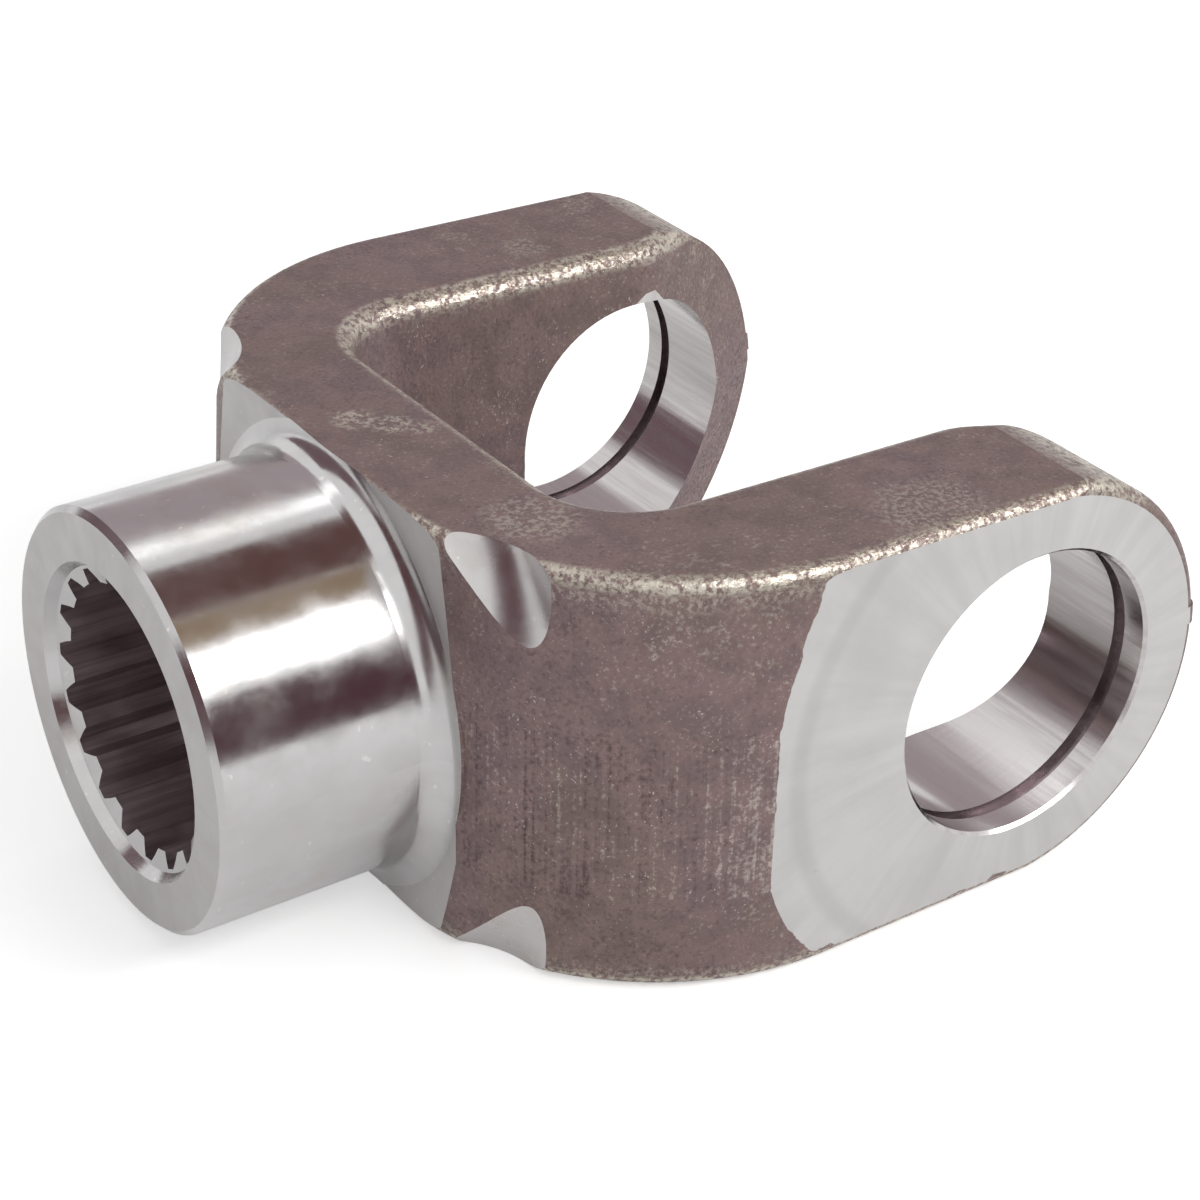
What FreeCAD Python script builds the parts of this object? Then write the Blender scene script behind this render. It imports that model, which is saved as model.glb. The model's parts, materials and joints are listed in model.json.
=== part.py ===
import FreeCAD, Part
import math
import os

# Forged clevis yoke of a universal joint, machined after forging.
# Millimetres. Origin at the joint centre, where the hub axis crosses the axis of the two
# bearing bores. X runs along the hub towards the ear tips, Y along the bearing bores, Z up.

# ---- bearing bores and spot-faced ears --------------------------------------------------
BORE_D = 36.0               # bore for the bearing cup
BORE_EDGE_BREAK = 0.4       # chamfer at the outer mouth of each bearing bore
EAR_OUTER_Y = 50.5          # joint centre to each spot-faced outer face
GROOVE_CUP_Y = 45.25        # joint centre to the nearer wall of the snap-ring groove
GROOVE_WIDTH = 1.8
GROOVE_DEPTH = 1.0

# ---- forged body ------------------------------------------------------------------------
TIP_R = 26.3                # ear tips, rounded about the bore axis
TIP_EDGE_R = 1.9            # rounding of the tips' outer edge
TOP_Z_FRONT = 27.1          # upper face at the shoulder, above the joint centre
TOP_Z_EAR = 25.7            # upper face above the bore axis
BOTTOM_Z = 26.2             # lower face, the one it rests on, below the joint centre
CORNER_R = 37.5             # outer corner of the U, in plan, at the sheared band
CORNER_X = 27.3             # centre of that corner, behind the joint centre
CORNER_Y = 14.1             # and to each side of the hub axis
BAND_TOP_Z = 7.5            # sheared band left by trimming the flash, upper edge
BAND_BOTTOM_Z = 13.4        # and its lower edge, below the joint centre
DRAFT_OUT_TOP = 3.0         # outer draft above the band, degrees
DRAFT_OUT_BOTTOM = 5.3      # outer draft below the band, degrees
EDGE_R = 2.2                # rounding of the outer forged edges
FLASH_Z = 2.6               # trimmed flash left across the ear tips: height above centre
FLASH_H = 2.4               # its thickness
FLASH_OUT = 0.35            # and how far it stands out

# ---- gap between the ears ---------------------------------------------------------------
GAP_HALF = 27.2             # joint centre to the inner faces at mid height
GAP_FLOOR_X = 43.5          # joint centre to the floor of the U at mid height
GAP_DRAFT = 5.8             # inner draft, degrees, opening up and down from mid height
GAP_CORNER_R = 8.0          # inner corners of the U at mid height
TAPER_START_X = 3.5         # the inner faces open out towards the tips from here
TAPER_ANGLE = 25.0
TAPER_BLEND_R = 14.0
INNER_EDGE_R = 3.2          # rounding of the inner forged edges

# ---- turned hub -------------------------------------------------------------------------
HUB_END_X = 90.0            # joint centre to the hub's end face
HUB_D = 50.0
HUB_EDGE_BREAK = 0.7
SHOULDER_X = 62.5           # joint centre to the turned shoulder
HUB_FILLET_R = 3.2
ROOT_BOSS_R = 28.3          # forged root of the hub, left around the turned fillet
RELIEF_R = 35.2             # the shoulder's corners are turned to this radius
RELIEF_FILLET_R = 8.5
RELIEF_END_X = 56.4         # the relief ends in a plane this far from the joint centre

# ---- involute spline: 18 teeth, module 1.75, 30 degrees, reference diameter 35 -----------
SPLINE_TEETH = 18
SPLINE_MODULE = 1.75
SPLINE_REF_D = 35.0
SPLINE_ANGLE = 30.0
SPLINE_PHASE = 1.1          # first space, degrees above +Y
MOUTH_D = 37.4              # lead-in at the hub's end face
MOUTH_STEP_D = 35.8
MOUTH_STEP_DEPTH = 1.35
MOUTH_CONE_DEPTH = 2.1
FLOOR_LEAD_IN = 3.3         # start of the chamfer at the gap, behind the floor

V = FreeCAD.Vector
BIG = 300.0


def line(a, b):
    return Part.LineSegment(V(*a), V(*b)).toShape()


def arc(a, m, b):
    return Part.Arc(V(*a), V(*m), V(*b)).toShape()


def polygon(points):
    pts = [V(*p) for p in points]
    return Part.makePolygon(pts + [pts[0]])


def spin(points, axis):
    """Solid of revolution from (length, radius) pairs along X or Y."""
    if axis == "X":
        wire, direction = polygon([(a, r, 0) for a, r in points]), V(1, 0, 0)
    else:
        wire, direction = polygon([(r, a, 0) for a, r in points]), V(0, 1, 0)
    return Part.Face(wire).revolve(V(0, 0, 0), direction, 360)


def top_z(x):
    """Height of the upper face."""
    return TOP_Z_EAR - (TOP_Z_FRONT - TOP_Z_EAR) / SHOULDER_X * x


# ---- forged shape -----------------------------------------------------------------------
def outer_wire(r, z):
    """Outer outline of the U in plan at height z, its corners of radius r."""
    x_front = -(CORNER_X + r)
    y_side = CORNER_Y + r
    k = r * math.sqrt(0.5)
    x_end = TIP_R + 10.0
    p = [(x_end, -y_side), (-CORNER_X, -y_side), (-CORNER_X - k, -CORNER_Y - k),
         (x_front, -CORNER_Y), (x_front, CORNER_Y), (-CORNER_X - k, CORNER_Y + k),
         (-CORNER_X, y_side), (x_end, y_side)]
    q = [(x, y, z) for x, y in p]
    return Part.Wire([
        line(q[0], q[1]), arc(q[1], q[2], q[3]), line(q[3], q[4]),
        arc(q[4], q[5], q[6]), line(q[6], q[7]), line(q[7], q[0]),
    ])


def outer_block():
    """The U in plan without its gap: upright sheared band, draft above and below it."""
    z_up = TOP_Z_FRONT + 3.0
    z_dn = -BOTTOM_Z
    r_up = CORNER_R - (z_up - BAND_TOP_Z) * math.tan(math.radians(DRAFT_OUT_TOP))
    r_dn = CORNER_R - (-BAND_BOTTOM_Z - z_dn) * math.tan(math.radians(DRAFT_OUT_BOTTOM))
    upper = Part.makeLoft([outer_wire(CORNER_R, BAND_TOP_Z), outer_wire(r_up, z_up)],
                          True, True)
    band = Part.Face(outer_wire(CORNER_R, -BAND_BOTTOM_Z)).extrude(
        V(0, 0, BAND_TOP_Z + BAND_BOTTOM_Z))
    lower = Part.makeLoft([outer_wire(r_dn, z_dn), outer_wire(CORNER_R, -BAND_BOTTOM_Z)],
                          True, True)
    block = upper.fuse([band, lower])
    x0, x1 = -(CORNER_X + CORNER_R + 5.0), TIP_R + 20.0
    above = polygon([(x0, -BIG, top_z(x0)), (x1, -BIG, top_z(x1)), (x1, -BIG, 90),
                     (x0, -BIG, 90)])
    return block.cut(Part.Face(above).extrude(V(0, 2 * BIG, 0)))


def on_top(p):
    return abs(p.z - top_z(p.x)) < 1e-3


def on_bottom(p):
    return abs(p.z + BOTTOM_Z) < 1e-3


def rim_edges(shape, keep):
    """Edges lying in the upper or the lower face that also pass the test keep."""
    found = []
    for e in shape.Edges:
        a, b = e.FirstParameter, e.LastParameter
        pts = [e.valueAt(a + (b - a) * t) for t in (0.0, 0.5, 1.0)]
        flat = all(on_top(p) for p in pts) or all(on_bottom(p) for p in pts)
        if flat and all(keep(p) for p in pts):
            found.append(e)
    return found


def gap_wire(grow, z):
    """Outline of the gap in plan at height z, grown outwards by the draft."""
    half = GAP_HALF + grow
    floor = -(GAP_FLOOR_X + grow)
    rc = GAP_CORNER_R + grow
    k = rc * (1.0 - math.sqrt(0.5))
    t = math.radians(TAPER_ANGLE)
    rb = max(TAPER_BLEND_R - grow, 1.0)
    lead = rb * math.tan(t / 2.0)
    xs = TAPER_START_X - grow * math.tan(t / 2.0)
    mid = (xs - lead + rb * math.sin(t / 2.0), half + rb * (1.0 - math.cos(t / 2.0)))
    end = (xs + lead * math.cos(t), half + lead * math.sin(t))
    x_far = TIP_R + 12.0
    y_far = half + (x_far - xs) * math.tan(t)
    side = [(floor, half - rc), (floor + k, half - k), (floor + rc, half),
            (xs - lead, half), mid, end, (x_far, y_far)]
    u = [(x, y, z) for x, y in side]
    d = [(x, -y, z) for x, y in side]
    return Part.Wire([
        line(d[0], u[0]), arc(u[0], u[1], u[2]), line(u[2], u[3]), arc(u[3], u[4], u[5]),
        line(u[5], u[6]), line(u[6], d[6]), line(d[6], d[5]), arc(d[5], d[4], d[3]),
        line(d[3], d[2]), arc(d[2], d[1], d[0]),
    ])


def gap():
    """The gap between the ears, narrowest at mid height."""
    z = max(TOP_Z_FRONT, BOTTOM_Z) + 6.0
    grow = z * math.tan(math.radians(GAP_DRAFT))
    up = Part.makeLoft([gap_wire(0.0, 0.0), gap_wire(grow, z)], True, True)
    dn = Part.makeLoft([gap_wire(0.0, 0.0), gap_wire(grow, -z)], True, True)
    return up.fuse(dn)


def tip_disc(radius):
    """Disc about the bore axis that rounds the ear tips and their outer edges."""
    drop = (BOTTOM_Z - BAND_BOTTOM_Z) * math.tan(math.radians(DRAFT_OUT_BOTTOM))
    y = max(CORNER_Y + CORNER_R - drop, EAR_OUTER_Y) + 0.05
    c = TIP_EDGE_R
    s = c * (1.0 - math.sqrt(0.5))
    r = radius
    edges = [
        line((0, -y, 0), (r - c, -y, 0)),
        arc((r - c, -y, 0), (r - s, -y + s, 0), (r, -y + c, 0)),
        line((r, -y + c, 0), (r, y - c, 0)),
        arc((r, y - c, 0), (r - s, y - s, 0), (r - c, y, 0)),
        line((r - c, y, 0), (0, y, 0)),
        line((0, y, 0), (0, -y, 0)),
    ]
    return Part.Face(Part.Wire(edges)).revolve(V(0, 0, 0), V(0, 1, 0), 360)


def forging():
    """The U as forged, with rounded rims, still with raw ears and a raw front."""
    block = outer_block()
    x_end = TIP_R + 9.9
    block = block.makeFillet(EDGE_R, rim_edges(block, lambda p: p.x < x_end))
    body = block.cut(gap())
    inner = rim_edges(body, lambda p: p.x < x_end and inside_gap(p))
    body = body.makeFillet(INNER_EDGE_R, inner)
    behind = Part.makeBox(BIG, 2 * BIG, 2 * BIG, V(-BIG, -BIG, -BIG))
    level = Part.makeBox(BIG, 2 * BIG, FLASH_H, V(0, -BIG, FLASH_Z - FLASH_H / 2.0))
    flash = body.common(tip_disc(TIP_R + FLASH_OUT)).common(level)
    return body.common(behind).fuse([body.common(tip_disc(TIP_R)), flash])


def inside_gap(p):
    """True on the gap's rim, false on the outer one."""
    return abs(p.y) < CORNER_Y + CORNER_R - 6.0 and p.x > -(GAP_FLOOR_X + 8.0)


# ---- machining --------------------------------------------------------------------------
def turned_envelope():
    """What the lathe leaves of the raw front: shoulder, hub fillet and relieved corners."""
    # relief fillet, tangent to the relief cylinder and ending in the end plane
    rf = RELIEF_FILLET_R
    xc, rc = -(RELIEF_END_X + rf), RELIEF_R + rf
    x_tan = -RELIEF_END_X
    pts = [V(-(HUB_END_X + 5), 0, 0), V(-(HUB_END_X + 5), HUB_D / 2, 0)]
    hub_r, f = HUB_D / 2, HUB_FILLET_R
    k = f * (1.0 - math.sqrt(0.5))
    edges = [
        line(pts[0], pts[1]),
        line(pts[1], (-(SHOULDER_X + f), hub_r, 0)),
        arc((-(SHOULDER_X + f), hub_r, 0), (-(SHOULDER_X + k), hub_r + k, 0),
            (-SHOULDER_X, hub_r + f, 0)),
        line((-SHOULDER_X, hub_r + f, 0), (-SHOULDER_X, RELIEF_R, 0)),
    ]
    if xc > -SHOULDER_X:
        edges.append(line((-SHOULDER_X, RELIEF_R, 0), (xc, RELIEF_R, 0)))
        start = (xc, RELIEF_R, 0)
    else:
        start = (-SHOULDER_X, rc - math.sqrt(rf ** 2 - (-SHOULDER_X - xc) ** 2), 0)
        edges[-1] = line((-SHOULDER_X, hub_r + f, 0), start)
    a0 = math.atan2(start[1] - rc, start[0] - xc)
    mid = (xc + rf * math.cos(a0 / 2.0), rc + rf * math.sin(a0 / 2.0), 0)
    edges += [
        arc(start, mid, (x_tan, rc, 0)),
        line((x_tan, rc, 0), (x_tan, 90, 0)),
        line((x_tan, 90, 0), (BIG / 2, 90, 0)),
        line((BIG / 2, 90, 0), (BIG / 2, 0, 0)),
        line((BIG / 2, 0, 0), pts[0]),
    ]
    return Part.Face(Part.Wire(edges)).revolve(V(0, 0, 0), V(1, 0, 0), 360)


def root_boss():
    """Forged root of the hub, as high as the U, that the turned fillet is cut from."""
    x0, x1 = -(SHOULDER_X + HUB_FILLET_R + 3.0), -(SHOULDER_X - 5.0)
    boss = spin([(x0, 0), (x0, ROOT_BOSS_R), (x1, ROOT_BOSS_R), (x1, 0)], "X")
    side = polygon([(x0, -BIG, -BOTTOM_Z), (x1, -BIG, -BOTTOM_Z), (x1, -BIG, top_z(x1)),
                    (x0, -BIG, top_z(x0))])
    return boss.common(Part.Face(side).extrude(V(0, 2 * BIG, 0)))


def hub():
    """The turned hub with its edge broken."""
    r, b = HUB_D / 2, HUB_EDGE_BREAK
    return spin([
        (-HUB_END_X, 0), (-HUB_END_X, r - b), (-HUB_END_X + b, r),
        (-SHOULDER_X + 4.0, r), (-SHOULDER_X + 4.0, 0),
    ], "X")


def bearing_bores():
    """Everything cut along the bearing axis: faces, bores, edge breaks and grooves."""
    r, g, b = BORE_D / 2, GROOVE_DEPTH, BORE_EDGE_BREAK
    y, c = EAR_OUTER_Y, GROOVE_CUP_Y
    far = y + 20.0
    half = [(0, 0), (0, r), (c, r), (c, r + g), (c + GROOVE_WIDTH, r + g),
            (c + GROOVE_WIDTH, r), (y - b, r), (y, r + b), (far, r + b), (far, 0)]
    cuts = [spin(half, "Y"), spin([(-a, q) for a, q in half], "Y")]
    for s in (-1, 1):
        box = Part.makeBox(BIG, 20.0, BIG, V(-BIG / 2, s * y if s > 0 else -y - 20.0, -BIG / 2))
        cuts.append(box)
    return cuts


# ---- spline -----------------------------------------------------------------------------
def space_half_angle(d):
    """Half the angle of one tooth space, in radians, on the circle of diameter d."""
    alpha = math.radians(SPLINE_ANGLE)
    shift = (SPLINE_REF_D / SPLINE_MODULE - SPLINE_TEETH - 1.1) / 2.0
    at_pitch = (math.pi / 2.0 + 2.0 * shift * math.tan(alpha)) / SPLINE_TEETH
    alpha_d = math.acos(SPLINE_MODULE * SPLINE_TEETH * math.cos(alpha) / d)
    return at_pitch - ((math.tan(alpha_d) - alpha_d) - (math.tan(alpha) - alpha))


def spline_cutter():
    """The splined bore: a circle on the tooth crests with one space between each pair."""
    d_root, d_tip = SPLINE_REF_D, SPLINE_REF_D - 2.0 * SPLINE_MODULE
    x0 = -(HUB_END_X + 5.0)

    def at(d, angle):
        return (x0, d / 2.0 * math.cos(angle), d / 2.0 * math.sin(angle))

    d_mid = (d_root + d_tip) / 2.0
    step = 2.0 * math.pi / SPLINE_TEETH
    edges = []
    for i in range(SPLINE_TEETH):
        c = math.radians(SPLINE_PHASE) + i * step
        tip, mid, root = (space_half_angle(d) for d in (d_tip, d_mid, d_root))
        edges += [
            arc(at(d_tip, c - tip), at(d_mid, c - mid), at(d_root, c - root)),
            arc(at(d_root, c - root), at(d_root, c), at(d_root, c + root)),
            arc(at(d_root, c + root), at(d_mid, c + mid), at(d_tip, c + tip)),
            arc(at(d_tip, c + tip), at(d_tip, c + step / 2.0), at(d_tip, c + step - tip)),
        ]
    return Part.Face(Part.Wire(edges)).extrude(V(HUB_END_X + 5.0 - GAP_FLOOR_X + 6.0, 0, 0))


def spline_lead_ins():
    """Turned lead-ins at both ends of the splined bore."""
    x, r_tip = -HUB_END_X, SPLINE_REF_D / 2.0 - SPLINE_MODULE
    mouth = spin([
        (x - 5.0, 0), (x - 5.0, MOUTH_D / 2.0), (x, MOUTH_D / 2.0),
        (x + MOUTH_STEP_DEPTH, MOUTH_STEP_D / 2.0), (x + MOUTH_CONE_DEPTH, r_tip),
        (x + MOUTH_CONE_DEPTH, 0),
    ], "X")
    deep = GAP_FLOOR_X + FLOOR_LEAD_IN
    floor = spin([(-deep, 0), (-deep, r_tip), (-deep + 9.0, r_tip + 9.0), (-deep + 9.0, 0)],
                 "X")
    return [mouth, floor]


# ---- whole part -------------------------------------------------------------------------
def yoke():
    raw = forging().fuse(root_boss())
    turned = raw.common(turned_envelope()).fuse(hub())
    return turned.cut(bearing_bores() + [spline_cutter()] + spline_lead_ins())


def main():
    os.makedirs("parts", exist_ok=True)
    shape = yoke().removeSplitter()
    solids = shape.Solids
    print("solids", len(solids), "valid", shape.isValid(), "faces", len(shape.Faces),
          "volume", round(shape.Volume))
    solids[0].exportStep("parts/yoke.step")


main()
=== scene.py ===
"""Forged yoke of a universal joint: surface finishes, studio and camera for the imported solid."""

import json
import logging
import math
from dataclasses import dataclass, field
from enum import Enum
from typing import Any, Union

import bpy
from mathutils import Matrix, Vector

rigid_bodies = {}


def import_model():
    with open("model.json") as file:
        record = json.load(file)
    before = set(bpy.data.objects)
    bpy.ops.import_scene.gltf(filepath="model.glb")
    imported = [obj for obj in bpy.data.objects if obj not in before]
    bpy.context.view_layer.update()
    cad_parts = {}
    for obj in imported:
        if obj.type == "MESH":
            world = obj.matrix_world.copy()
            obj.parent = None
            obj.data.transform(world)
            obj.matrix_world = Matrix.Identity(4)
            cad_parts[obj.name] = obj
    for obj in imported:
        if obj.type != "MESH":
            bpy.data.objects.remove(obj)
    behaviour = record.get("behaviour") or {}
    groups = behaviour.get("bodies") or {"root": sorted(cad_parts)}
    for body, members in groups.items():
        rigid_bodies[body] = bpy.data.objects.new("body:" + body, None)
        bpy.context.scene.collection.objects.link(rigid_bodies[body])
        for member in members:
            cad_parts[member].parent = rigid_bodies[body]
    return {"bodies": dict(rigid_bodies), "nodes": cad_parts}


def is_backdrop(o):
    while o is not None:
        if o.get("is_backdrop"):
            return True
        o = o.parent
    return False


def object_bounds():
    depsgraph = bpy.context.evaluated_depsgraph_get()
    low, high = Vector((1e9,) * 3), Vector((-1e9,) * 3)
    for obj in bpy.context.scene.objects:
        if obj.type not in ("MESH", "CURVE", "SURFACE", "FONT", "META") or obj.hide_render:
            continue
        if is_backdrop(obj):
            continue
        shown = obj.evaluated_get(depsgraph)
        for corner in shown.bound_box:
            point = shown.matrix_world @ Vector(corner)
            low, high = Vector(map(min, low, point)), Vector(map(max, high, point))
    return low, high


log = logging.getLogger("forged_yoke")

MM = 0.001

Socket = bpy.types.NodeSocket
Value = Union[Socket, float]
Colour = tuple[float, float, float]
Tint = Union[Socket, Colour]


class Region(Enum):
    """Kinds of surface on the yoke, each with a finish of its own."""

    FORGED = 0
    SHEARED = 1
    SPOT_FACE = 2
    TURNED = 3
    TURNED_FACE = 4
    RELIEF = 5
    BORE = 6
    GROOVE = 7
    SPLINE = 8


class NodeBuilder:
    """Small helper that adds and wires shader nodes in one material."""

    def __init__(self, name: str) -> None:
        """Start an empty material.

        Args:
            name: name of the material.
        """
        self.material = bpy.data.materials.new(name)
        self.material.use_nodes = True
        self.tree = self.material.node_tree
        self.tree.nodes.clear()
        self.out = self.tree.nodes.new("ShaderNodeOutputMaterial")
        self.surface = self.tree.nodes.new("ShaderNodeBsdfPrincipled")
        self.tree.links.new(self.surface.outputs["BSDF"], self.out.inputs["Surface"])
        self.coords = self.tree.nodes.new("ShaderNodeTexCoord").outputs["Object"]
        split = self.tree.nodes.new("ShaderNodeSeparateXYZ")
        self.tree.links.new(self.coords, split.inputs[0])
        self.x, self.y, self.z = (split.outputs[k] for k in "XYZ")

    def put(self, socket: Socket, value: Any) -> None:
        """Set a socket to a number, a colour or another node's output.

        Args:
            socket: the input to set.
            value: what it gets.
        """
        if isinstance(value, Socket):
            self.tree.links.new(value, socket)
        else:
            socket.default_value = value

    def math(self, operation: str, *values: Value) -> Socket:
        """Add a Math node.

        Args:
            operation: Blender's name of the operation.
            values: one or two numbers or outputs.

        Returns:
            The node's output.
        """
        node = self.tree.nodes.new("ShaderNodeMath")
        node.operation = operation
        for socket, value in zip(node.inputs, values):
            self.put(socket, value)
        return node.outputs[0]

    def hypot(self, a: Value, b: Value) -> Socket:
        """Return the length of the diagonal of two numbers or outputs."""
        return self.math("SQRT", self.math("ADD", self.math("MULTIPLY", a, a),
                                           self.math("MULTIPLY", b, b)))

    def noise(self, vector: Socket, scale: float, detail: float, rough: float) -> Socket:
        """Add a Noise Texture and return its factor.

        Args:
            vector: where the noise is read.
            scale: features in each unit of the vector.
            detail: its octaves.
            rough: its roughness.

        Returns:
            The noise's factor.
        """
        node = self.tree.nodes.new("ShaderNodeTexNoise")
        self.put(node.inputs["Vector"], vector)
        node.inputs["Scale"].default_value = scale
        node.inputs["Detail"].default_value = detail
        node.inputs["Roughness"].default_value = rough
        return node.outputs["Fac"]

    def cells(self, vector: Socket, scale: float) -> Socket:
        """Add a Voronoi Texture and return its distance.

        Args:
            vector: where the cells are read.
            scale: cells per metre.

        Returns:
            Distance to the nearest cell.
        """
        node = self.tree.nodes.new("ShaderNodeTexVoronoi")
        self.put(node.inputs["Vector"], vector)
        node.inputs["Scale"].default_value = scale
        return node.outputs["Distance"]

    def stretch(self, scale: tuple[float, float, float]) -> Socket:
        """Return the object coordinates scaled along each axis.

        Args:
            scale: factor along each axis.

        Returns:
            The scaled coordinates.
        """
        node = self.tree.nodes.new("ShaderNodeMapping")
        self.put(node.inputs["Vector"], self.coords)
        node.inputs["Scale"].default_value = scale
        return node.outputs[0]

    def vector(self, x: Value, y: Value, z: Value) -> Socket:
        """Return a vector made of three numbers or outputs.

        Args:
            x: first part.
            y: second part.
            z: third part.

        Returns:
            The vector.
        """
        node = self.tree.nodes.new("ShaderNodeCombineXYZ")
        for socket, value in zip(node.inputs, (x, y, z)):
            self.put(socket, value)
        return node.outputs[0]

    def step(self, value: Value, low: float, high: float, a: float = 0.0,
             b: float = 1.0) -> Socket:
        """Map a value from low..high to a..b, held at both ends.

        Args:
            value: what is mapped.
            low: where a holds.
            high: where b holds.
            a: result at low.
            b: result at high.

        Returns:
            The mapped value.
        """
        node = self.tree.nodes.new("ShaderNodeMapRange")
        node.interpolation_type = "SMOOTHSTEP"
        self.put(node.inputs["Value"], value)
        node.inputs["From Min"].default_value = low
        node.inputs["From Max"].default_value = high
        node.inputs["To Min"].default_value = a
        node.inputs["To Max"].default_value = b
        return node.outputs[0]

    def ramp(self, value: Value, stops: list[tuple[float, Colour]]) -> Socket:
        """Add a Color Ramp with the given stops and return its colour.

        Args:
            value: place on the ramp.
            stops: places and colours, from left to right.

        Returns:
            The colour.
        """
        node = self.tree.nodes.new("ShaderNodeValToRGB")
        self.put(node.inputs[0], value)
        elements = node.color_ramp.elements
        while len(elements) < len(stops):
            elements.new(0.5)
        for element, (place, colour) in zip(elements, stops):
            element.position = place
            element.color = (*colour, 1.0)
        return node.outputs[0]

    def mix(self, factor: Value, a: Tint, b: Tint, blend: str = "MIX") -> Socket:
        """Mix two colours.

        Args:
            factor: how much of b shows.
            a: first colour, as three numbers or an output.
            b: second colour.
            blend: Blender's name of the blend mode.

        Returns:
            The mixed colour's output.
        """
        node = self.tree.nodes.new("ShaderNodeMix")
        node.data_type = "RGBA"
        node.blend_type = blend
        self.put(node.inputs[0], factor)
        for socket, value in ((node.inputs[6], a), (node.inputs[7], b)):
            self.put(socket, value if isinstance(value, Socket) else (*value, 1.0))
        return node.outputs[2]

    def normal_z(self) -> Socket:
        """Return the upward part of the surface's normal.

        Returns:
            The Z part.
        """
        node = self.tree.nodes.new("ShaderNodeNewGeometry")
        split = self.tree.nodes.new("ShaderNodeSeparateXYZ")
        self.tree.links.new(node.outputs["Normal"], split.inputs[0])
        return split.outputs["Z"]

    def near(self, place: tuple[float, float, float], reach: float) -> Socket:
        """Return 1 at a place given in millimetres, falling to 0 at the reach.

        Args:
            place: middle of the patch.
            reach: its radius, millimetres.

        Returns:
            The mask.
        """
        node = self.tree.nodes.new("ShaderNodeVectorMath")
        node.operation = "DISTANCE"
        self.put(node.inputs[0], self.coords)
        node.inputs[1].default_value = Vector(place) * MM
        return self.step(node.outputs["Value"], reach * 0.45 * MM, reach * MM, 1.0, 0.0)

    def marks(self, run: Value, density: float, sweep: Value, turns: float, detail: float,
              rough: float) -> Socket:
        """Build noise drawn out along a cut.

        Args:
            run: distance or angle across the marks.
            density: marks in each metre or radian of run.
            sweep: distance or angle along the marks.
            turns: changes in each metre or radian of sweep.
            detail: octaves of the noise.
            rough: roughness of the noise.

        Returns:
            The noise's factor.
        """
        place = self.vector(self.math("MULTIPLY", run, density),
                            self.math("MULTIPLY", sweep, turns), 0.0)
        return self.noise(place, 1.0, detail, rough)

    def bump(self, height: Socket, distance: float, strength: float,
             under: Union[Socket, None] = None) -> Socket:
        """Add a Bump node and return its normal.

        Args:
            height: what stands proud.
            distance: how far, metres.
            strength: share of it that shows.
            under: normal that it is laid on.

        Returns:
            The normal.
        """
        node = self.tree.nodes.new("ShaderNodeBump")
        node.inputs["Strength"].default_value = strength
        node.inputs["Distance"].default_value = distance
        self.put(node.inputs["Height"], height)
        if under is not None:
            self.put(node.inputs["Normal"], under)
        return node.outputs[0]

    def finish(self, colour: Socket, metallic: Value, roughness: Value,
               normal: Socket) -> bpy.types.Material:
        """Wire the surface shader and return the material.

        Args:
            colour: base colour.
            metallic: share of bare metal.
            roughness: how matt it is.
            normal: the bumped normal.

        Returns:
            The finished material.
        """
        self.put(self.surface.inputs["Base Color"], colour)
        self.put(self.surface.inputs["Metallic"], metallic)
        self.put(self.surface.inputs["Roughness"], roughness)
        self.put(self.surface.inputs["Normal"], normal)
        return self.material


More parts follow.
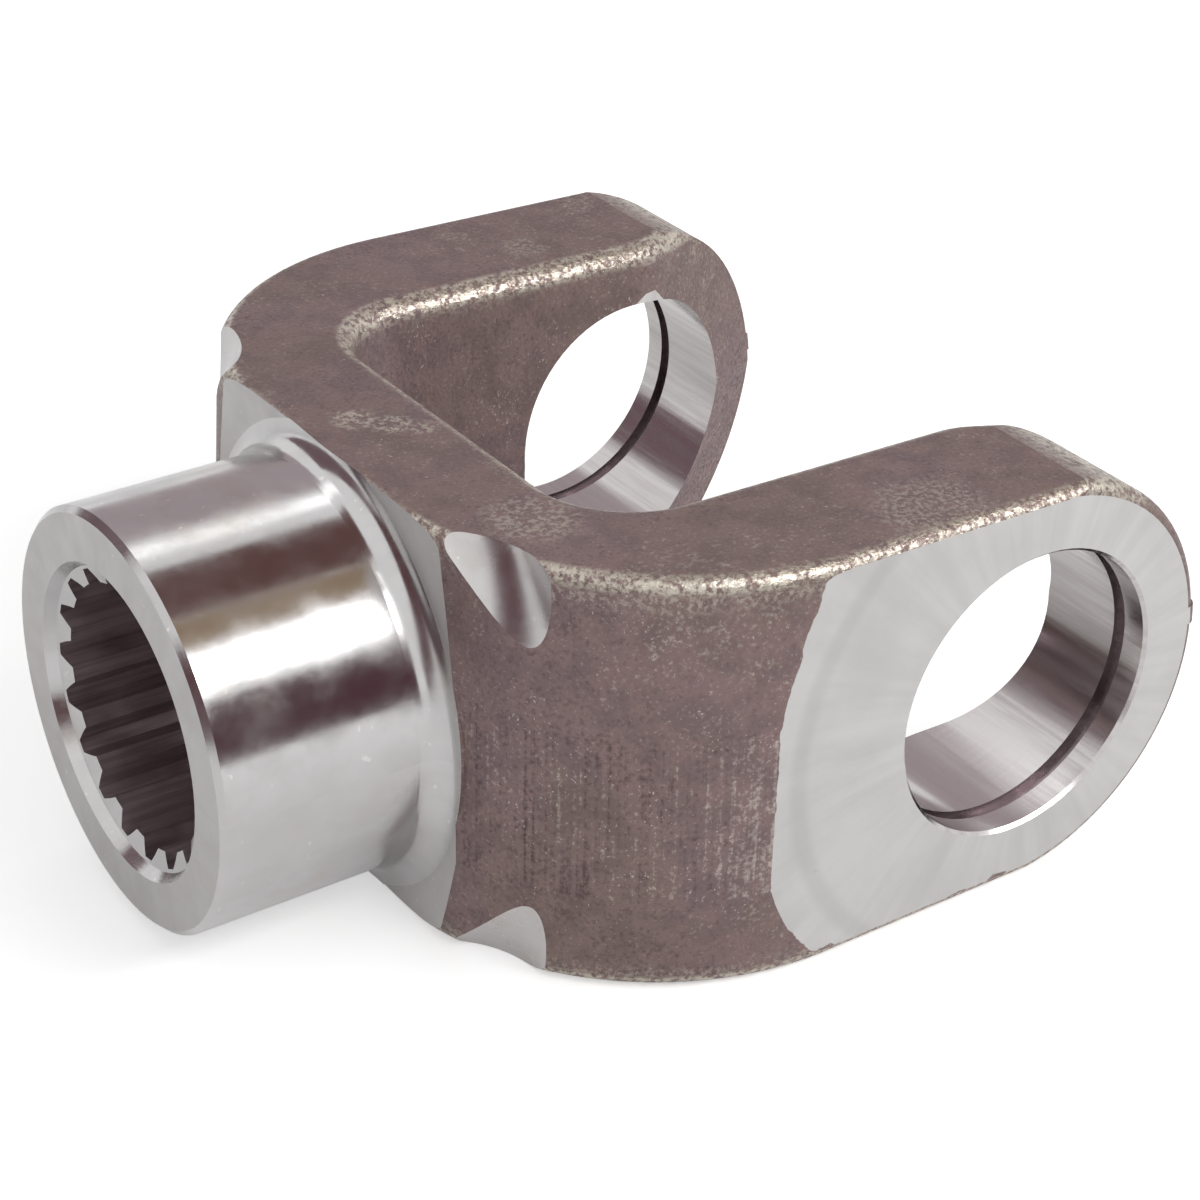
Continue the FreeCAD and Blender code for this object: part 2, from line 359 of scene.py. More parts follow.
@dataclass(frozen=True)
class ForgedFinish:
    """Dark blasted forging scale: fine bright grain with painted glints, mottled patches, edges worn
    bright and a painted highlight along the top rims.

    Heights, places and reaches are in millimetres.
    """

    dark: Colour = (0.105, 0.064, 0.069)
    mid: Colour = (0.250, 0.172, 0.170)
    pale: Colour = (0.54, 0.47, 0.43)
    # Bright colour of edges worn bright, also used as a painted highlight along the top rims.
    rubbed_and_glint: Colour = (0.64, 0.60, 0.51)
    roughness: float = 0.47
    metallic: float = 0.55
    purple: Colour = (0.115, 0.085, 0.098)
    olive: Colour = (0.86, 0.90, 0.76)
    # Colour of the painted glints in the fine specks.
    sparkle: Colour = (0.62, 0.58, 0.53)
    sheared: bool = False
    band_top: tuple[float, float] = (6.6, 8.2)
    band_bottom: tuple[float, float] = (-19.5, -15.0)
    band_wander: float = 9.0
    darker_end: tuple[float, float] = (-62.0, -26.0)
    edge_height: tuple[float, float] = (19.5, 21.5)
    wall_height: tuple[float, float] = (22.0, 24.5)
    # Patches as middle, reach and strength: the first three make a nick in the top, the others are
    # painted glints on the ears' tops and by the near corner.
    scuffs_and_glints: tuple[tuple[tuple[float, float, float], float, float], ...] = (
        ((-56.3, 4.2, 27.0), 3.4, 1.0), ((-53.2, 1.0, 27.0), 3.2, 0.9),
        ((-50.6, -1.4, 27.0), 2.4, 0.7), ((-13.0, -46.0, 26.0), 9.0, 0.5),
        ((-12.0, 37.0, 26.4), 4.0, 0.5), ((-52.0, -26.0, 27.0), 7.0, 0.6))

    def streaks(self, nodes: NodeBuilder) -> Socket:
        """Build the upright tear lines of the trimmed band round the flank.

        Args:
            nodes: the material being built.

        Returns:
            How far the lines lift or lower the tone.
        """
        fine = nodes.noise(nodes.stretch((1500.0, 1500.0, 34.0)), 1.0, 2.0, 0.55)
        broad = nodes.noise(nodes.stretch((460.0, 460.0, 24.0)), 1.0, 2.0, 0.5)
        wander = nodes.noise(nodes.stretch((120.0, 120.0, 1.0)), 1.0, 2.0, 0.6)
        edge = nodes.math("ADD", nodes.z, nodes.math("MULTIPLY", nodes.math(
            "SUBTRACT", wander, 0.5), self.band_wander * MM))
        top, bottom = self.band_top, self.band_bottom
        level = nodes.math("MULTIPLY", nodes.step(edge, top[0] * MM, top[1] * MM, 1.0, 0.0),
                           nodes.step(edge, bottom[0] * MM, bottom[1] * MM))
        lines = nodes.math("ADD", nodes.math("MULTIPLY", nodes.math("SUBTRACT", fine, 0.455), 0.42),
                           nodes.math("MULTIPLY", nodes.math("SUBTRACT", broad, 0.46), 0.24))
        return nodes.math("MULTIPLY", level, lines)

    def colour(self, nodes: NodeBuilder) -> tuple[Socket, Socket, Socket]:
        """Build the skin's colour, its mask of worn edges and painted highlights, and its grain.

        Args:
            nodes: the material being built.

        Returns:
            Colour, mask of worn edges and painted highlights, and grain outputs.
        """
        place = nodes.coords
        grain = nodes.noise(place, 1900.0, 3.0, 0.62)
        coarse = nodes.noise(place, 560.0, 3.0, 0.6)
        cloud = nodes.noise(place, 95.0, 4.0, 0.55)
        patch = nodes.noise(place, 33.0, 3.0, 0.5)
        tone = nodes.math("ADD", nodes.math("MULTIPLY", grain, 0.42),
                          nodes.math("MULTIPLY", coarse, 0.24))
        tone = nodes.math("ADD", tone, nodes.math("MULTIPLY", cloud, 0.20))
        tone = nodes.math("ADD", tone, nodes.math("MULTIPLY", patch, 0.14))
        if self.sheared:
            start, end = self.darker_end
            tone = nodes.math("ADD", tone, nodes.step(nodes.x, start * MM, end * MM,
                                                      -0.050, 0.030))
            tone = nodes.math("ADD", tone, self.streaks(nodes))
        base = nodes.ramp(tone, [(0.30, self.dark), (0.47, self.mid), (0.56, self.mid),
                                 (0.70, self.pale)])
        hue = nodes.noise(place, 240.0, 2.0, 0.5)
        base = nodes.mix(nodes.step(hue, 0.42, 0.62, 0.0, 0.30), base, self.purple)
        olive = nodes.step(nodes.noise(place, 48.0, 4.0, 0.6), 0.40, 0.62, 0.0, 0.55)
        base = nodes.mix(olive, base, self.olive, "MULTIPLY")
        # Painted glints: fine specks, thicker in patches, mixed toward the bright sparkle colour.
        speck = nodes.step(nodes.noise(place, 2600.0, 2.0, 0.6), 0.63, 0.72)
        zone = nodes.step(nodes.noise(place, 150.0, 3.0, 0.6), 0.50, 0.62)
        base = nodes.mix(nodes.math("MULTIPLY", speck, nodes.math("ADD", nodes.math(
            "MULTIPLY", zone, 0.55), 0.25)), base, self.sparkle)
        rubbed_and_glint = self.wear_and_glint(nodes)
        # Mixes in the bright edge colour: partly edges worn bright, partly a painted highlight on the
        # rims.
        return nodes.mix(nodes.math("MULTIPLY", rubbed_and_glint, 0.8), base, self.rubbed_and_glint), rubbed_and_glint, grain

    def wear_and_glint(self, nodes: NodeBuilder) -> Socket:
        """Build the mask of worn edges, a nick in the top, and painted highlights and glints.

        Args:
            nodes: the material being built.

        Returns:
            1 where the skin is worn bright or carries a painted highlight, 0 where it is whole and has
            none.
        """
        # Partly worn edges, partly a painted highlight: the top rims' fillets, picked by slope and
        # height, go bright where the key lamp glints on them.
        slope = nodes.math("ABSOLUTE", nodes.normal_z())
        height = nodes.math("ABSOLUTE", nodes.z)
        shoulder = nodes.math("MULTIPLY", nodes.step(slope, 0.10, 0.35),
                              nodes.step(slope, 0.90, 0.995, 1.0, 0.0))
        low, top = self.edge_height
        high = nodes.step(height, low * MM, top * MM)
        ragged = nodes.step(nodes.noise(nodes.coords, 1250.0, 3.0, 0.65), 0.38, 0.58)
        rubbed_and_glint = nodes.math("MULTIPLY", nodes.math("MULTIPLY", shoulder, high), ragged)
        # Painted glints: bright spots on the upright walls just under the top rims, carrying the rim
        # highlight down.
        low, top = self.wall_height
        wall = nodes.math("MULTIPLY", nodes.step(slope, 0.10, 0.30, 1.0, 0.0),
                          nodes.step(height, low * MM, top * MM, 0.0, 0.45))
        spots = nodes.step(nodes.noise(nodes.coords, 1500.0, 3.0, 0.7), 0.46, 0.60)
        rubbed_and_glint = nodes.math("MAXIMUM", rubbed_and_glint, nodes.math("MULTIPLY", wall, spots))
        # The first three patches are a nick in the top; the others are painted glints on the ears'
        # tops and by the near corner.
        for middle, reach, strength in self.scuffs_and_glints:
            scuff_and_glint = nodes.math("MULTIPLY", nodes.near(middle, reach), spots)
            rubbed_and_glint = nodes.math("MAXIMUM", rubbed_and_glint, nodes.math("MULTIPLY", scuff_and_glint, strength))
        return rubbed_and_glint

    def build(self, name: str) -> bpy.types.Material:
        """Return the finish as a material.

        Args:
            name: name of the material.

        Returns:
            The material.
        """
        nodes = NodeBuilder(name)
        base, rubbed_and_glint, grain = self.colour(nodes)
        pits = nodes.cells(nodes.coords, 1150.0)
        swell = nodes.noise(nodes.coords, 210.0, 4.0, 0.6)
        normal = nodes.bump(swell, 0.35 * MM, 0.55)
        normal = nodes.bump(pits, 0.10 * MM, 0.35, normal)
        normal = nodes.bump(grain, 0.12 * MM, 0.75, normal)
        if self.sheared:
            normal = nodes.bump(self.streaks(nodes), 0.5 * MM, 0.6, normal)
        rough = nodes.math("SUBTRACT", nodes.step(grain, 0.35, 0.65, self.roughness + 0.12,
                                                  self.roughness - 0.12),
                           nodes.math("MULTIPLY", rubbed_and_glint, 0.10))
        metal = nodes.math("ADD", nodes.math("MULTIPLY", rubbed_and_glint, 0.35), self.metallic)
        return nodes.finish(base, metal, rough, normal)


@dataclass(frozen=True)
class SpotFaceFinish:
    """Pale faced steel on the ears, with faint rings and some skin left at its edge.

    Places, radii and heights are in millimetres. The drafts are the tangents of the flank's
    lean above and below the upright band.
    """

    pale: Colour = (0.635, 0.625, 0.615)
    shade: Colour = (0.565, 0.555, 0.55)
    ring_radius: float = 33.3
    skin: ForgedFinish = field(default_factory=ForgedFinish)
    corner_x: float = -27.3
    corner_y: float = 14.1
    corner_r: float = 37.5
    band_top: float = 7.5
    band_bottom: float = -13.4
    draft_above: float = 0.0524
    draft_below: float = 0.0928
    ragged_by: float = 0.42
    ring_tint: Colour = (0.40, 0.39, 0.385)
    smudge_tint: Colour = (0.30, 0.285, 0.28)

    def skin_left(self, nodes: NodeBuilder) -> Socket:
        """Return a ragged mask where the raw corner just misses the cutter.

        Args:
            nodes: the material being built.

        Returns:
            1 where the skin is left, 0 where the face is cut.
        """
        along = nodes.math("MINIMUM", nodes.math("SUBTRACT", nodes.x, self.corner_x * MM), 0.0)
        across = nodes.math("SUBTRACT", nodes.math("ABSOLUTE", nodes.y), self.corner_y * MM)
        reach = nodes.hypot(along, across)
        above = nodes.math("MULTIPLY", nodes.math("MAXIMUM", nodes.math(
            "SUBTRACT", nodes.z, self.band_top * MM), 0.0), self.draft_above)
        below = nodes.math("MULTIPLY", nodes.math("MAXIMUM", nodes.math(
            "SUBTRACT", self.band_bottom * MM, nodes.z), 0.0), self.draft_below)
        raw = nodes.math("SUBTRACT", nodes.math("SUBTRACT", self.corner_r * MM, above), below)
        depth = nodes.math("SUBTRACT", raw, reach)
        ragged = nodes.math("MULTIPLY", nodes.math("SUBTRACT", nodes.noise(
            nodes.coords, 230.0, 3.0, 0.55), 0.47), self.ragged_by * MM)
        return nodes.step(nodes.math("SUBTRACT", ragged, depth), -0.012 * MM, 0.012 * MM)

    def build(self, name: str) -> bpy.types.Material:
        """Return the finish as a material.

        Args:
            name: name of the material.

        Returns:
            The material.
        """
        nodes = NodeBuilder(name)
        radius = nodes.hypot(nodes.x, nodes.z)
        rings = nodes.marks(radius, 2400.0, 0.0, 0.0, 3.0, 0.6)
        sweep = nodes.math("ARCTAN2", nodes.z, nodes.x)
        fan = nodes.marks(sweep, 9.0, radius, 30.0, 3.0, 0.6)
        cloud = nodes.noise(nodes.coords, 62.0, 4.0, 0.6)
        tone = nodes.math("ADD", nodes.math("MULTIPLY", fan, 0.45),
                          nodes.math("MULTIPLY", cloud, 0.55))
        colour = nodes.mix(nodes.step(tone, 0.36, 0.64), self.shade, self.pale)
        mark = nodes.math("ABSOLUTE", nodes.math("SUBTRACT", radius, self.ring_radius * MM))
        colour = nodes.mix(nodes.step(mark, 0.3 * MM, 1.9 * MM, 0.28, 0.0), colour,
                           self.ring_tint)
        smudge = nodes.step(nodes.noise(nodes.stretch((1.0, 1.0, 2.2)), 150.0, 3.0, 0.6),
                            0.68, 0.76)
        colour = nodes.mix(nodes.math("MULTIPLY", smudge, 0.35), colour, self.smudge_tint)
        skin, _, grain = self.skin.colour(nodes)
        left = self.skin_left(nodes)
        colour = nodes.mix(left, colour, skin)
        normal = nodes.bump(rings, 0.012 * MM, 0.6)
        normal = nodes.bump(nodes.math("MULTIPLY", left, grain), 0.12 * MM, 0.7, normal)
        rough = nodes.math("ADD", nodes.step(tone, 0.3, 0.7, 0.46, 0.36),
                           nodes.math("MULTIPLY", left, 0.1))
        metal = nodes.math("SUBTRACT", 0.62, nodes.math("MULTIPLY", left, 0.1))
        return nodes.finish(colour, metal, rough, normal)


@dataclass(frozen=True)
class TurnedFinish:
    """Lathe-turned steel about the hub axis, with fine turning marks."""

    colour: Colour = (0.585, 0.575, 0.575)
    stain: Colour = (0.50, 0.43, 0.34)
    drag_tint: Colour = (0.42, 0.40, 0.39)
    speck_tint: Colour = (0.85, 0.84, 0.83)
    roughness: float = 0.17
    metallic: float = 1.0
    marks: float = 0.5
    faced: bool = False

    def build(self, name: str) -> bpy.types.Material:
        """Return the finish as a material.

        Args:
            name: name of the material.

        Returns:
            The material.
        """
        nodes = NodeBuilder(name)
        radius = nodes.hypot(nodes.y, nodes.z)
        run = radius if self.faced else nodes.x
        sweep = nodes.math("ARCTAN2", nodes.z, nodes.y)
        lines = nodes.marks(run, 2900.0, sweep, 1.2, 3.0, 0.65)
        drag = nodes.marks(run, 160.0, sweep, 5.0, 4.0, 0.6)
        cloud = nodes.noise(nodes.coords, 120.0, 4.0, 0.6)
        grime = nodes.step(nodes.noise(nodes.coords, 75.0, 4.0, 0.62), 0.52, 0.72)
        colour = nodes.mix(nodes.math("MULTIPLY", grime, 0.35), self.colour, self.stain)
        colour = nodes.mix(nodes.step(drag, 0.35, 0.65, 0.0, 0.16), colour, self.drag_tint)
        specks = nodes.step(nodes.noise(nodes.coords, 900.0, 2.0, 0.6), 0.68, 0.74)
        colour = nodes.mix(nodes.math("MULTIPLY", specks, 0.4), colour, self.speck_tint)
        rough = nodes.step(nodes.math("ADD", nodes.math("MULTIPLY", cloud, 0.6),
                                      nodes.math("MULTIPLY", drag, 0.4)), 0.36, 0.66,
                           self.roughness - 0.04, self.roughness + 0.09)
        normal = nodes.bump(lines, 0.010 * MM, self.marks)
        normal = nodes.bump(drag, 0.05 * MM, 0.3, normal)
        return nodes.finish(colour, self.metallic, rough, normal)


@dataclass(frozen=True)
class BoredFinish:
    """Honed steel inside the ears, its marks running round the bore axis."""

    colour: Colour = (0.60, 0.575, 0.57)
    streak_tint: Colour = (0.40, 0.36, 0.35)
    roughness: float = 0.16

    def build(self, name: str) -> bpy.types.Material:
        """Return the finish as a material.

        Args:
            name: name of the material.

        Returns:
            The material.
        """
        nodes = NodeBuilder(name)
        sweep = nodes.math("ARCTAN2", nodes.z, nodes.x)
        lines = nodes.marks(nodes.y, 1500.0, sweep, 1.5, 2.0, 0.5)
        streak = nodes.marks(nodes.y, 45.0, sweep, 14.0, 4.0, 0.6)
        colour = nodes.mix(nodes.step(streak, 0.35, 0.68, 0.0, 0.4), self.colour,
                           self.streak_tint)
        rough = nodes.step(streak, 0.35, 0.65, self.roughness - 0.03, self.roughness + 0.08)
        normal = nodes.bump(lines, 0.010 * MM, 0.3)
        normal = nodes.bump(streak, 0.03 * MM, 0.2, normal)
        return nodes.finish(colour, 1.0, rough, normal)


@dataclass(frozen=True)
class BroachedFinish:
    """Oily broached steel in the spline and the snap-ring grooves."""

    colour: Colour = (0.48, 0.40, 0.42)
    shade: Colour = (0.27, 0.205, 0.22)
    roughness: float = 0.34

    def build(self, name: str) -> bpy.types.Material:
        """Return the finish as a material.

        Args:
            name: name of the material.

        Returns:
            The material.
        """
        nodes = NodeBuilder(name)
        drag = nodes.noise(nodes.stretch((70.0, 1500.0, 1500.0)), 1.0, 3.0, 0.6)
        cloud = nodes.noise(nodes.coords, 160.0, 3.0, 0.6)
        colour = nodes.mix(nodes.step(drag, 0.35, 0.65, 0.0, 0.6), self.colour, self.shade)
        rough = nodes.step(cloud, 0.35, 0.65, self.roughness - 0.06, self.roughness + 0.1)
        normal = nodes.bump(drag, 0.02 * MM, 0.5)
        return nodes.finish(colour, 0.9, rough, normal)


@dataclass
class ForgedYoke:
    """The one-piece yoke: sorts the solid's faces by how each was made and dresses them.

    Sizes are in millimetres, from the joint centre. The least parts of a normal that the
    sorting asks for are plain ratios.
    """

    bore_r: float = 18.0
    groove_r: float = 19.0
    groove_y: tuple[float, float] = (45.25, 47.05)
    face_y: float = 50.5
    hub_r: float = 25.0
    hub_end_x: float = -90.0
    shoulder_x: float = -62.5
    fillet_r: float = 3.2
    relief_r: float = 35.2
    relief_fillet_r: float = 8.5
    relief_end_x: float = -56.4
    spline_r: float = 17.5
    mouth_r: float = 18.7
    mouth_depth: float = 2.15
    gap_floor_x: float = -43.5
    flank_x: float = -27.3
    flank_y: float = 14.1
    ear_inner_y: float = 27.0
    ear_start_x: float = -30.0
    spline_depth: float = 2.2
    band_z: tuple[float, float] = (-14.0, 8.0)
    spline_runout: float = 1.5
    hub_skin: float = 1.0
    tolerance: float = 0.045
    mouth_slack: float = 0.05
    radius_slack: float = 0.1
    relief_slack: float = 0.03
    band_y: float = 10.0
    band_end_x: float = -20.0
    square: float = 0.99
    tilted: float = 0.2
    upright: float = 0.02
    finishes: dict[Region, Any] = field(default_factory=lambda: {
        Region.FORGED: ForgedFinish(),
        Region.SHEARED: ForgedFinish(sheared=True),
        Region.SPOT_FACE: SpotFaceFinish(),
        Region.TURNED: TurnedFinish(),
        Region.TURNED_FACE: TurnedFinish(colour=(0.58, 0.565, 0.56), stain=(0.50, 0.47, 0.44),
                                         roughness=0.40, metallic=0.75, faced=True),
        Region.RELIEF: TurnedFinish(colour=(0.62, 0.60, 0.60), roughness=0.24),
        Region.BORE: BoredFinish(),
        Region.GROOVE: BroachedFinish(colour=(0.30, 0.25, 0.26), shade=(0.20, 0.165, 0.17),
                                      roughness=0.28),
        Region.SPLINE: BroachedFinish(),
    })

    def relief_circle(self, point: Vector) -> Vector:
        """Return the way from a point to the nearest place on the relief's centre circle.

        Args:
            point: a place in millimetres.

        Returns:
            The way, in millimetres.
        """
        away = Vector((0.0, point.y, point.z))
        away *= (self.relief_r + self.relief_fillet_r) / away.length
        away.x = self.relief_end_x - self.relief_fillet_r
        return away - point

    def in_relief(self, centre: Vector, normal: Vector, corners: list[Vector]) -> bool:
        """Say whether a face belongs to the round-nosed cut beside the hub.

        Args:
            centre: the face's centre, in millimetres.
            normal: the face's normal.
            corners: the face's corners, in millimetres.

        Returns:
            True where every corner is on the cut and the face looks its way.
        """
        for corner in corners:
            if abs(self.relief_circle(corner).length - self.relief_fillet_r) > self.relief_slack:
                return False
        flank = Vector((centre.x - self.flank_x, centre.y - math.copysign(self.flank_y, centre.y),
                        0.0))
        others = (flank.normalized(), Vector((0.0, 0.0, math.copysign(1.0, centre.z))))
        facing = normal.dot(self.relief_circle(centre).normalized())
        return facing > max(normal.dot(other) for other in others)

    def region(self, centre: Vector, normal: Vector, corners: list[Vector]) -> Region:
        """Say how the surface at a face's centre was made.

        Args:
            centre: the face's centre, in millimetres.
            normal: the face's normal.
            corners: the face's corners, in millimetres.

        Returns:
            The kind of surface.
        """
        x, y, z = centre
        about_hub, about_bore = math.hypot(y, z), math.hypot(x, z)
        tol = self.tolerance
        if abs(y) > self.face_y - tol and abs(normal.y) > self.square:
            return Region.SPOT_FACE
        if about_bore < self.groove_r + tol and abs(y) > self.ear_inner_y and x > self.ear_start_x:
            low, high = self.groove_y
            if low - tol < abs(y) < high + tol and about_bore > self.bore_r + self.radius_slack:
                return Region.GROOVE
            return Region.BORE
        if x < self.hub_end_x + tol and normal.x < -self.square:
            return Region.TURNED_FACE
        in_mouth = about_hub < self.mouth_r + self.mouth_slack
        if in_mouth and x < self.hub_end_x + self.mouth_depth and abs(normal.x) > self.tilted:
            return Region.TURNED
        if about_hub < self.spline_r + self.spline_depth and x < self.gap_floor_x + self.spline_runout:
            inward = normal.y * y + normal.z * z < 0
            if (inward or about_hub < self.spline_r + self.radius_slack) \
                    and about_hub < self.hub_r - self.hub_skin:
                return Region.SPLINE
        if x < self.shoulder_x + tol and about_hub < self.hub_r + self.fillet_r + tol:
            return Region.TURNED
        if abs(x - self.shoulder_x) < tol and normal.x < -self.square:
            return Region.TURNED_FACE
        if self.in_relief(centre, normal, corners):
            return Region.RELIEF
        if abs(x - self.relief_end_x) < tol and normal.x < -self.square:
            return Region.RELIEF
        low, high = self.band_z
        on_flank = abs(y) > self.band_y and x < self.band_end_x
        if abs(normal.z) < self.upright and on_flank and low < z < high:
            return Region.SHEARED
        return Region.FORGED

    def dress(self, node: bpy.types.Object) -> dict[Region, int]:
        """Give each face of the solid the finish of its region.

        Args:
            node: the solid's object.

        Returns:
            How many faces each region has.
        """
        mesh = node.data
        counts = {region: 0 for region in Region}
        mesh.materials.clear()
        for region in Region:
            mesh.materials.append(self.finishes[region].build(region.name.lower() + "_steel"))
        for face in mesh.polygons:
            corners = [mesh.vertices[index].co / MM for index in face.vertices]
            region = self.region(face.center / MM, face.normal, corners)
            face.material_index = region.value
            counts[region] += 1
        log.info("%s: %d finishes", node.name, len(mesh.materials))
        return counts


@dataclass(frozen=True)
class Board:
    """One lamp or grey board that stands round the hub's axis.

    turn is the angle round the axis, degrees, 0 on the +Y side and 90 overhead. span is the
    angle that it covers, and left and right are its ends along the axis, metres. A board that
    stands across stands on the floor past the hub's end, with its ends measured along Y.
    """

    name: str
    turn: float
    span: float
    left: float
    right: float
    tone: Colour = (0.0, 0.0, 0.0)
    watts: float = 0.0
    across: bool = False


@dataclass
class Studio:
    """Pale floor, soft lamps and grey boards around the yoke, with sizes in metres."""

    floor_z: float
    floor_half: float = 4.0
    floor_gap: float = 0.00002
    paper_tone: Colour = (0.93, 0.93, 0.93)
    reach: float = 0.9
    room_light: float = 0.52
    paper_glow: float = 0.16
    paper_white: float = 0.30
    boards: tuple[Board, ...] = (
        Board("board_rear", 31.0, 44.0, 0.10, 1.20, (0.48, 0.41, 0.43)),
        Board("board_left", 26.0, 38.0, -1.40, -0.32, (0.20, 0.13, 0.15)),
        Board("board_over", 90.0, 30.0, -0.10, 1.30, (0.15, 0.075, 0.07)),
        Board("board_gold", 114.0, 16.0, 0.10, 1.20, (0.36, 0.26, 0.17)),
        Board("board_low", 165.5, 33.0, -0.10, 1.30, (0.10, 0.045, 0.055)),
        Board("board_end", 0.0, 25.0, -1.20, 0.45, (0.13, 0.060, 0.068), across=True),
        Board("lamp_key", 134.5, 14.0, -0.05, 1.00, watts=5.2),
        Board("lamp_rear", 61.0, 8.0, -0.30, 0.90, watts=0.45),
    )

    @staticmethod
    def seen(tree: bpy.types.NodeTree) -> Socket:
        """Return an output that is 1 where the view or a reflection looks straight at it.

        Args:
            tree: the node tree that needs it.

        Returns:
            The output.
        """
        path = tree.nodes.new("ShaderNodeLightPath")
        shiny = tree.nodes.new("ShaderNodeMath")
        shiny.operation = "MAXIMUM"
        tree.links.new(path.outputs["Is Glossy Ray"], shiny.inputs[0])
        tree.links.new(path.outputs["Is Transmission Ray"], shiny.inputs[1])
        seen = tree.nodes.new("ShaderNodeMath")
        seen.operation = "MAXIMUM"
        tree.links.new(path.outputs["Is Camera Ray"], seen.inputs[0])
        tree.links.new(shiny.outputs[0], seen.inputs[1])
        return seen.outputs[0]

    def floor(self) -> bpy.types.Object:
        """Lay a wide pale floor under the yoke and return it.

        Returns:
            The floor.
        """
        bpy.ops.object.select_all(action="DESELECT")
        bpy.ops.mesh.primitive_plane_add(size=2.0 * self.floor_half,
                                         location=(0.0, 0.0, self.floor_z - self.floor_gap))
        floor = bpy.context.object
        floor.name = "studio_floor"
        material = bpy.data.materials.new("floor_paper")
        material.use_nodes = True
        tree = material.node_tree
        shader = tree.nodes["Principled BSDF"]
        shader.inputs["Base Color"].default_value = (*self.paper_tone, 1.0)
        shader.inputs["Roughness"].default_value = 0.9
        shader.inputs["Emission Color"].default_value = (1.0, 1.0, 1.0, 1.0)
        shown = tree.nodes.new("ShaderNodeMath")
        shown.operation = "MULTIPLY"
        shown.inputs[1].default_value = self.paper_white
        tree.links.new(tree.nodes.new("ShaderNodeLightPath").outputs["Is Camera Ray"],
                       shown.inputs[0])
        glow = tree.nodes.new("ShaderNodeMath")
        glow.operation = "MULTIPLY_ADD"
        glow.inputs[1].default_value = self.paper_glow
        tree.links.new(self.seen(tree), glow.inputs[0])
        tree.links.new(shown.outputs[0], glow.inputs[2])
        tree.links.new(glow.outputs[0], shader.inputs["Emission Strength"])
        floor.data.materials.append(material)
        floor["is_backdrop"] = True
        return floor

    def placing(self, board: Board) -> tuple[Matrix, float, float]:
        """Work out where a board stands.

        Args:
            board: the lamp or board.

        Returns:
            Its matrix, facing the hub's axis, its length along the axis and its height.
        """
        if board.across:
            height = self.reach * math.tan(math.radians(board.span))
            matrix = Matrix(((0.0, 0.0, 1.0), (1.0, 0.0, 0.0), (0.0, 1.0, 0.0))).to_4x4()
            matrix.translation = (-self.reach, (board.left + board.right) / 2.0,
                                  self.floor_z + height / 2.0)
            return matrix, board.right - board.left, height
        turn = math.radians(board.turn)
        out = Vector((0.0, math.cos(turn), math.sin(turn)))
        along = Vector((1.0, 0.0, 0.0))
        matrix = Matrix((along, out.cross(along), out)).transposed().to_4x4()
        matrix.translation = out * self.reach + along * (board.left + board.right) / 2.0
        height = 2.0 * self.reach * math.tan(math.radians(board.span) / 2.0)
        return matrix, board.right - board.left, height

    def grey_board(self, board: Board) -> bpy.types.Object:
        """Hang a board of one tone that only reflections see, and return it.

        Args:
            board: the board.

        Returns:
            The board's object.
        """
        matrix, length, height = self.placing(board)
        bpy.ops.object.select_all(action="DESELECT")
        bpy.ops.mesh.primitive_plane_add(size=1.0)
        card = bpy.context.object
        card.name = board.name
        card.matrix_world = matrix @ Matrix.Diagonal((length, height, 1.0, 1.0))
        material = bpy.data.materials.new(board.name + "_paint")
        material.use_nodes = True
        tree = material.node_tree
        tree.nodes.clear()
        glow = tree.nodes.new("ShaderNodeEmission")
        glow.inputs["Color"].default_value = (*board.tone, 1.0)
        out = tree.nodes.new("ShaderNodeOutputMaterial")
        tree.links.new(glow.outputs[0], out.inputs["Surface"])
        card.data.materials.append(material)
        card.visible_camera = False
        card.visible_diffuse = False
        card.visible_shadow = False
        card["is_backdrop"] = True
        return card

    def lamp(self, board: Board) -> bpy.types.Object:
        """Hang a soft lamp that faces the hub's axis, and return it.

        Args:
            board: the lamp.

        Returns:
            The lamp's object.
        """
        matrix, length, height = self.placing(board)
        data = bpy.data.lights.new(board.name, "AREA")
        data.shape = "RECTANGLE"
        data.size, data.size_y = length, height
        data.energy = board.watts
        lamp = bpy.data.objects.new(board.name, data)
        bpy.context.scene.collection.objects.link(lamp)
        lamp.matrix_world = matrix
        return lamp

    def sky(self) -> bpy.types.World:
        """Light the room evenly, white to the camera and to reflections.

        Returns:
            The world.
        """
        world = bpy.data.worlds.new("studio_room")
        bpy.context.scene.world = world
        world.use_nodes = True
        tree = world.node_tree
        tree.nodes.clear()
        out = tree.nodes.new("ShaderNodeOutputWorld")
        room = tree.nodes.new("ShaderNodeBackground")
        room.inputs["Color"].default_value = (1.0, 1.0, 1.0, 1.0)
        room.inputs["Strength"].default_value = self.room_light
        backdrop = tree.nodes.new("ShaderNodeBackground")
        backdrop.inputs["Color"].default_value = (1.0, 1.0, 1.0, 1.0)
        backdrop.inputs["Strength"].default_value = 1.0
        blend = tree.nodes.new("ShaderNodeMixShader")
        tree.links.new(self.seen(tree), blend.inputs[0])
        tree.links.new(room.outputs[0], blend.inputs[1])
        tree.links.new(backdrop.outputs[0], blend.inputs[2])
        tree.links.new(blend.outputs[0], out.inputs["Surface"])
        return world

    def build(self) -> None:
        """Set up the floor, the room, the boards and the lamps."""
        self.floor()
        self.sky()
        for board in self.boards:
            if board.watts:
                self.lamp(board)
            else:
                self.grey_board(board)
            log.info("stage: %s", board.name)


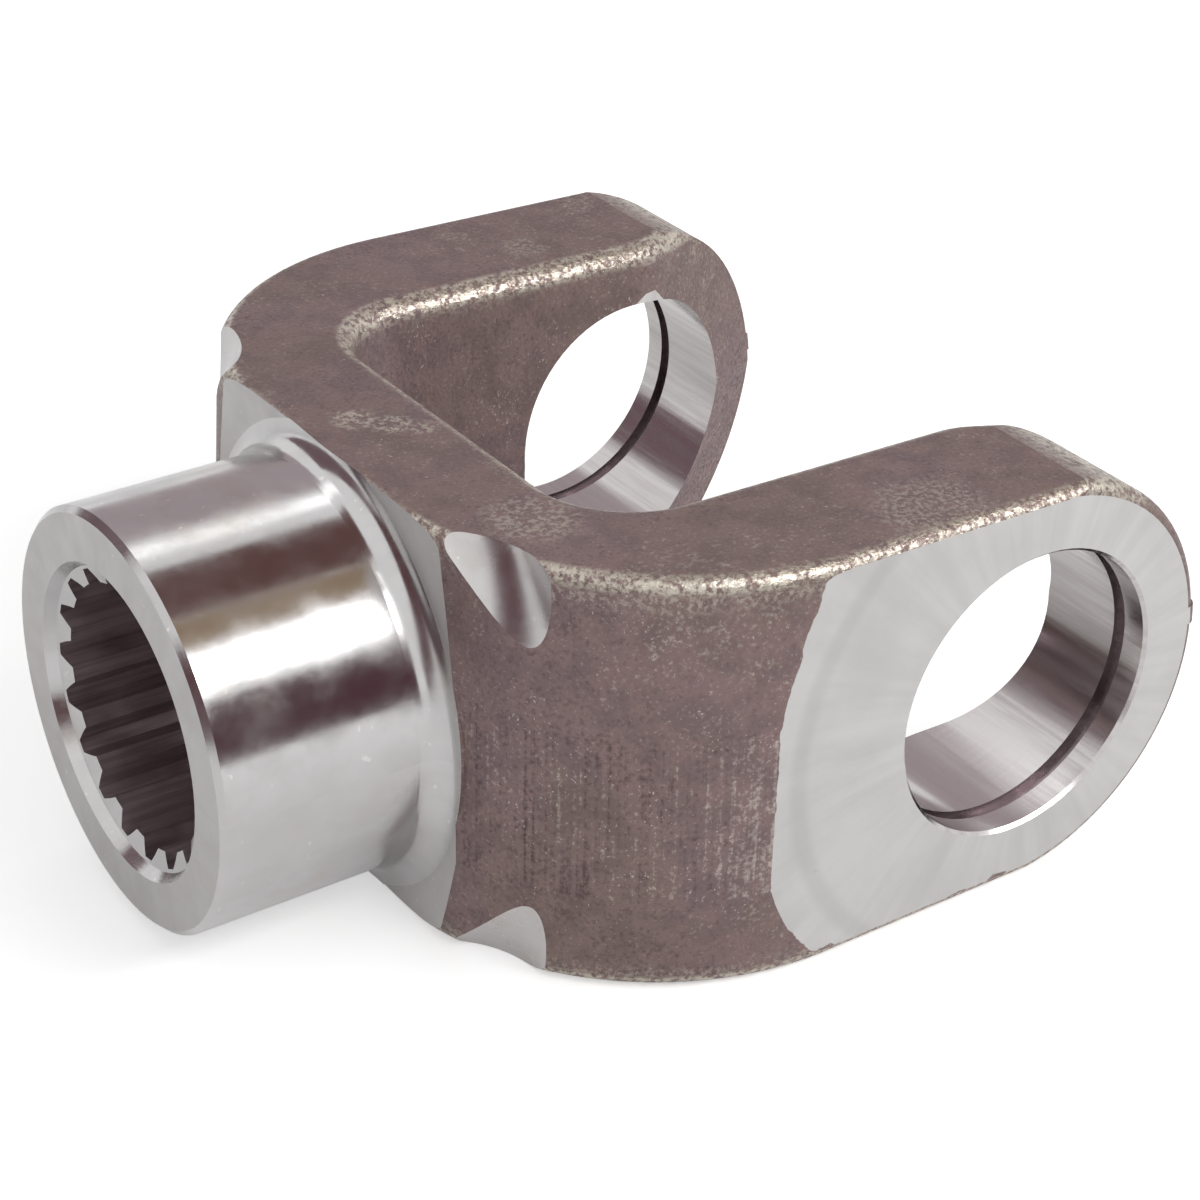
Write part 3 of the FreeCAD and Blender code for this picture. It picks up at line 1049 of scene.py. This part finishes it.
@dataclass
class ViewCamera:
    """Camera aimed at the yoke from above its hub end.

    Angles are in degrees, the distance, the target, the lens and the sensor in millimetres.
    """

    azimuth: float = -35.077
    elevation: float = 30.244
    roll: float = -1.297
    distance: float = 350.70
    target: tuple[float, float, float] = (-26.147, -2.073, -3.101)
    lens: float = 86.108
    sensor: float = 36.0

    def build(self) -> bpy.types.Object:
        """Create the camera, make it the scene's and return it.

        Returns:
            The camera.
        """
        data = bpy.data.cameras.new("view_camera")
        data.sensor_width = self.sensor
        data.lens = self.lens
        data.clip_start, data.clip_end = 0.01, 50.0
        camera = bpy.data.objects.new("view_camera", data)
        bpy.context.scene.collection.objects.link(camera)
        turn, rise = math.radians(self.azimuth), math.radians(self.elevation)
        back = Vector((math.sin(turn) * math.cos(rise), -math.cos(turn) * math.cos(rise),
                       math.sin(rise)))
        ahead = -back
        right = ahead.cross(Vector((0.0, 0.0, 1.0))).normalized()
        down = ahead.cross(right)
        roll = math.radians(self.roll)
        side = right * math.cos(roll) + down * math.sin(roll)
        fall = -right * math.sin(roll) + down * math.cos(roll)
        matrix = Matrix((side, -fall, back)).transposed().to_4x4()
        matrix.translation = (Vector(self.target) + back * self.distance) * MM
        camera.matrix_world = matrix
        bpy.context.scene.camera = camera
        return camera


def clear_startup(frame: dict[str, Any]) -> None:
    """Remove whatever the empty file held besides the frame.
    """
    keep = set(frame["nodes"].values()) | set(frame["bodies"].values())
    for item in list(bpy.data.objects):
        if item not in keep:
            bpy.data.objects.remove(item)


def plain_box(corners: tuple[Any, Any]) -> list[list[float]]:
    """Return a box's two corners as plain lists."""
    return [list(corner) for corner in corners]


def main() -> None:
    """Dress the yoke, set the studio and the camera, and report each piece."""
    logging.basicConfig(level=logging.INFO, format="%(name)s: %(message)s")
    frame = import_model()
    clear_startup(frame)
    solid_box = plain_box(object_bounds())
    bpy.ops.object.select_all(action="DESELECT")
    counts = ForgedYoke().dress(frame["nodes"]["yoke"])
    for region, count in counts.items():
        log.info("%s: %d faces", region.name, count)
    Studio(floor_z=solid_box[0][2]).build()
    ViewCamera().build()
    bpy.context.scene.view_settings.view_transform = "Standard"


if __name__ == "__main__":
    main()
